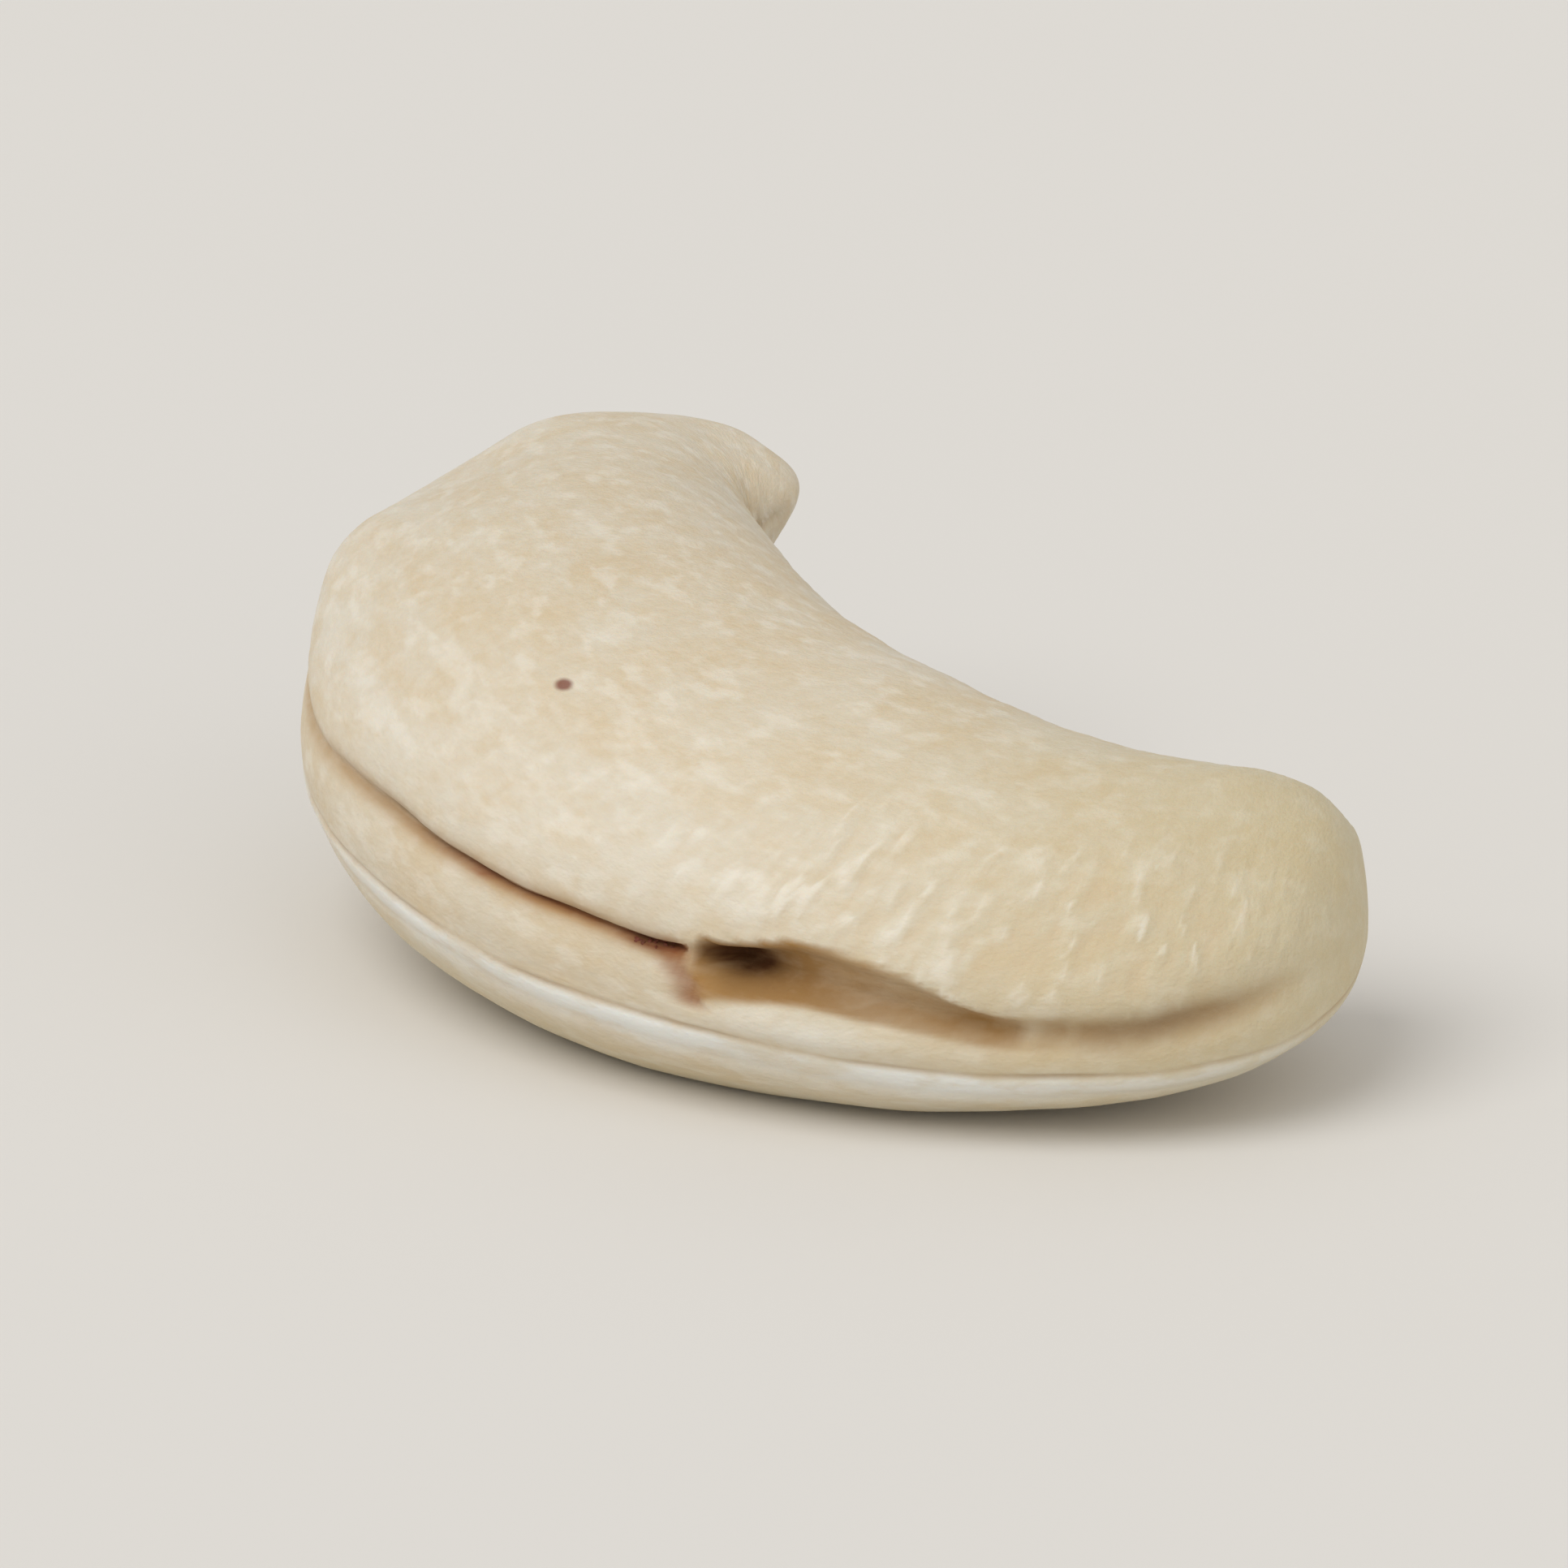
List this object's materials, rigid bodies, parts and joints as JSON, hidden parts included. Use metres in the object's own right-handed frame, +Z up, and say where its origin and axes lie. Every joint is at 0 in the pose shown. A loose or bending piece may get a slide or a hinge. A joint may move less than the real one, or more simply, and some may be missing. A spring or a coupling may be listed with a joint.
{
  "type": "cashew nut",
  "caption": "Whole shelled cashew kernel lying on its side: a plump comma-shaped seed with a grooved rim, a small split in it and an open crook.",
  "frame": {"origin": "on the surface that the nut lies on, under the middle of its bounding box", "axes": "+X along the nut's length towards its slim tip, +Y out of the open crook, +Z up, roughly across the seam from the lower seed leaf to the upper one"},
  "size_m": [0.0288, 0.0174, 0.0108],
  "materials": {
    "kernel": null
  },
  "bodies": {
    "root": {"kernel": "kernel"}
  },
  "joints": []
}
